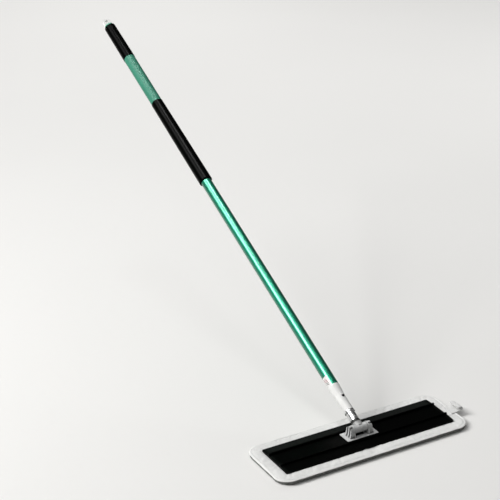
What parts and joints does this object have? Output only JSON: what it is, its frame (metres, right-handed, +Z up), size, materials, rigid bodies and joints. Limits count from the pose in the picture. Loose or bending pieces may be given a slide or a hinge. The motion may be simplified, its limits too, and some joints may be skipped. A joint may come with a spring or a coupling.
{
  "type": "flat mop",
  "caption": "Flat floor mop: a long tube handle with grips and a hanging loop, a swivel and tilt joint, and a flat rectangular head that carries a hook-and-loop pad.",
  "frame": {"origin": "centre of the pad's underside, where the head rests on the floor", "axes": "+X along the head's long side, +Y the way the handle leans, +Z up from the floor"},
  "size_m": [0.4756, 1.2699, 0.6056],
  "materials": {
    "green_anodised": "satin anodised, drawn lengthwise",
    "black_rubber": "soft, faint sheen",
    "label_green": "smooth satin sleeve",
    "green_plastic": "satin",
    "white_plastic": "satin moulded",
    "dark_steel": "blackened",
    "chrome": "polished plate",
    "spring_steel": "rolled",
    "steel": "zinc plated",
    "bronze": "turned",
    "black_plastic": "satin",
    "cast_grey": "as cast, fine grain",
    "black_frame": "black anodised, drawn lengthwise",
    "hook_tape": "moulded hooks",
    "pad_pile_grey": "microfibre loops",
    "pad_foam": "foam laminate",
    "pad_white": "loop-knit face for the hooks",
    "binding_white": "folded knit tape",
    "tab_white": "woven ribbon"
  },
  "bodies": {
    "handle": {"handle_tube": "green_anodised", "lower_grip": "black_rubber", "label_band": "label_green", "upper_grip": "black_rubber", "top_plug": "green_plastic", "hang_loop": "white_plastic", "handle_adaptor": "white_plastic", "adaptor_rivet": "dark_steel", "swivel_sleeve": "chrome", "button_spring": "spring_steel"},
    "button": {"snap_button": "dark_steel"},
    "yoke": {"swivel_yoke": "cast_grey", "swivel_bolt": "steel", "thrust_washer": "bronze", "swivel_washer": "black_plastic", "pivot_bushes": "black_plastic"},
    "head": {"base_bracket": "cast_grey", "tilt_pin": "steel", "bracket_screws": "steel", "mop_frame": "black_frame", "end_cap_left": "black_plastic", "end_cap_right": "black_plastic", "hook_strip_front": "hook_tape", "hook_strip_back": "hook_tape", "pad_pile": "pad_pile_grey", "pad_core": "pad_foam", "pad_backing": "pad_white", "edge_binding": "binding_white", "pull_tab": "tab_white"}
  },
  "joints": [
    {"name": "handle_swivel", "type": "hinge", "parent": "handle", "child": "yoke", "pos_m": [0, 0, 0.03], "axis": [0, 0.9011, 0.4337], "continuous": true},
    {"name": "head_tilt", "type": "hinge", "parent": "yoke", "child": "head", "pos_m": [0, 0, 0.03], "axis": [1, 0, 0], "range_deg": [-152, 24]},
    {"name": "button_press", "type": "slide", "parent": "handle", "child": "button", "axis": [-0.1908, 0.4257, -0.8845], "range_m": [0, 0.0018], "stiffness_N_per_m": 1200, "springref_m": -0.002, "deforming": ["button_spring"]}
  ]
}
